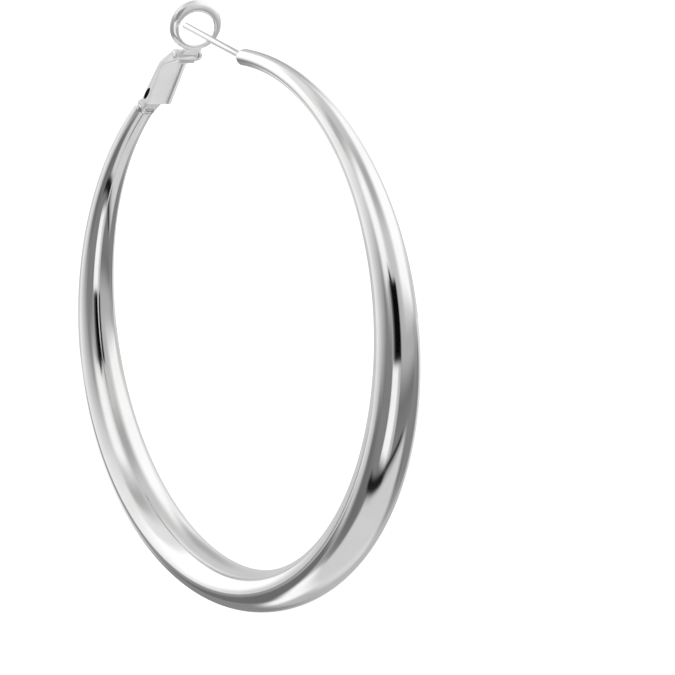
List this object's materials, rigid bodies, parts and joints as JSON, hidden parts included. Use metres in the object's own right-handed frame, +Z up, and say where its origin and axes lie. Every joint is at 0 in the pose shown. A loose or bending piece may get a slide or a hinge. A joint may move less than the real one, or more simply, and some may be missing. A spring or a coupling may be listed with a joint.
{
  "type": "hoop earring",
  "caption": "Large tapered tube hoop earring in polished silver, with a straight ear post and a hinged ring clip that closes over it.",
  "frame": {"origin": "centre of the earring's box, on the surface that it lies on", "axes": "+Z up along the hoop's axis, +Y from the thickest part of the tube toward the post and clip, +X toward the post's arm"},
  "size_m": [0.0596, 0.0646, 0.0064],
  "materials": {
    "silver": "polished",
    "clip_silver": "polished"
  },
  "bodies": {
    "hoop": {"hoop": "silver", "hinge_pin": "clip_silver"},
    "clip": {"clip_lever": "clip_silver"}
  },
  "joints": [
    {"name": "clip_hinge", "type": "hinge", "parent": "hoop", "child": "clip", "pos_m": [-0.00408, 0.02695, 0.0032], "axis": [0, 0, 1], "range_deg": [0, 75]}
  ]
}
